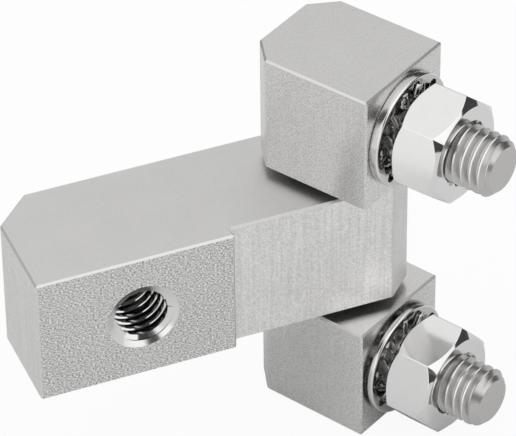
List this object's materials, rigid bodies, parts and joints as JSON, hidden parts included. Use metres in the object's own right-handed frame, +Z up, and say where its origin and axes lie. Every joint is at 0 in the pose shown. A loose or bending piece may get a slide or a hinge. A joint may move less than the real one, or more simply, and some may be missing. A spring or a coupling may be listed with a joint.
{
  "type": "angle hinge",
  "caption": "Block hinge: a long leaf with a tapped hole turns between two short leaves on a hidden pin, and each short leaf has a threaded stud with lock washer and nut.",
  "frame": {"origin": "on the tapped hole's axis, level with the hinge line in depth, at the centre leaf's mid height", "axes": "+Z up along the hinge line, -Y out of the tapped hole's mouth, +X from the hole to the hinge line"},
  "size_m": [0.0593, 0.0327, 0.053],
  "materials": {
    "leaf_steel": "satin",
    "stud_steel": "bright turned",
    "nut_steel": "polished",
    "washer_steel": "polished",
    "pin_steel": "ground",
    "bush_polymer": "matte"
  },
  "bodies": {
    "centre": {"centre_leaf": "leaf_steel", "hinge_pin": "pin_steel"},
    "upper_leaf": {"upper_leaf": "leaf_steel", "upper_bush": "bush_polymer", "upper_stud": "stud_steel"},
    "lower_leaf": {"lower_leaf": "leaf_steel", "lower_bush": "bush_polymer", "lower_stud": "stud_steel"},
    "upper_washer": {"upper_lock_washer": "washer_steel"},
    "lower_washer": {"lower_lock_washer": "washer_steel"},
    "upper_nut": {"upper_nut": "nut_steel"},
    "lower_nut": {"lower_nut": "nut_steel"}
  },
  "joints": [
    {"name": "upper_swing", "type": "hinge", "parent": "centre", "child": "upper_leaf", "pos_m": [0.02975, 0, 0], "axis": [0, 0, 1], "range_deg": [-31, 149]},
    {"name": "upper_nut_travel", "type": "slide", "parent": "upper_leaf", "child": "upper_washer", "axis": [0.515, -0.8572, 0], "range_m": [0, 0.005]},
    {"name": "upper_nut_turn", "type": "hinge", "parent": "upper_washer", "child": "upper_nut", "pos_m": [0.03516, -0.009, 0.01825], "axis": [0.515, -0.8572, 0], "range_deg": [0, 1440]},
    {"name": "lower_swing", "type": "hinge", "parent": "centre", "child": "lower_leaf", "pos_m": [0.02975, 0, 0], "axis": [0, 0, 1], "range_deg": [-29.5, 150.5]},
    {"name": "lower_nut_travel", "type": "slide", "parent": "lower_leaf", "child": "lower_washer", "axis": [0.4924, -0.8704, 0], "range_m": [0, 0.005]},
    {"name": "lower_nut_turn", "type": "hinge", "parent": "lower_washer", "child": "lower_nut", "pos_m": [0.03492, -0.00914, -0.01825], "axis": [0.4924, -0.8704, 0], "range_deg": [0, 1440]}
  ],
  "couplings": [
    {"joint": "upper_nut_travel", "follows": "upper_nut_turn", "m_per_rad": 0.00019894},
    {"joint": "lower_nut_travel", "follows": "lower_nut_turn", "m_per_rad": 0.00019894}
  ]
}
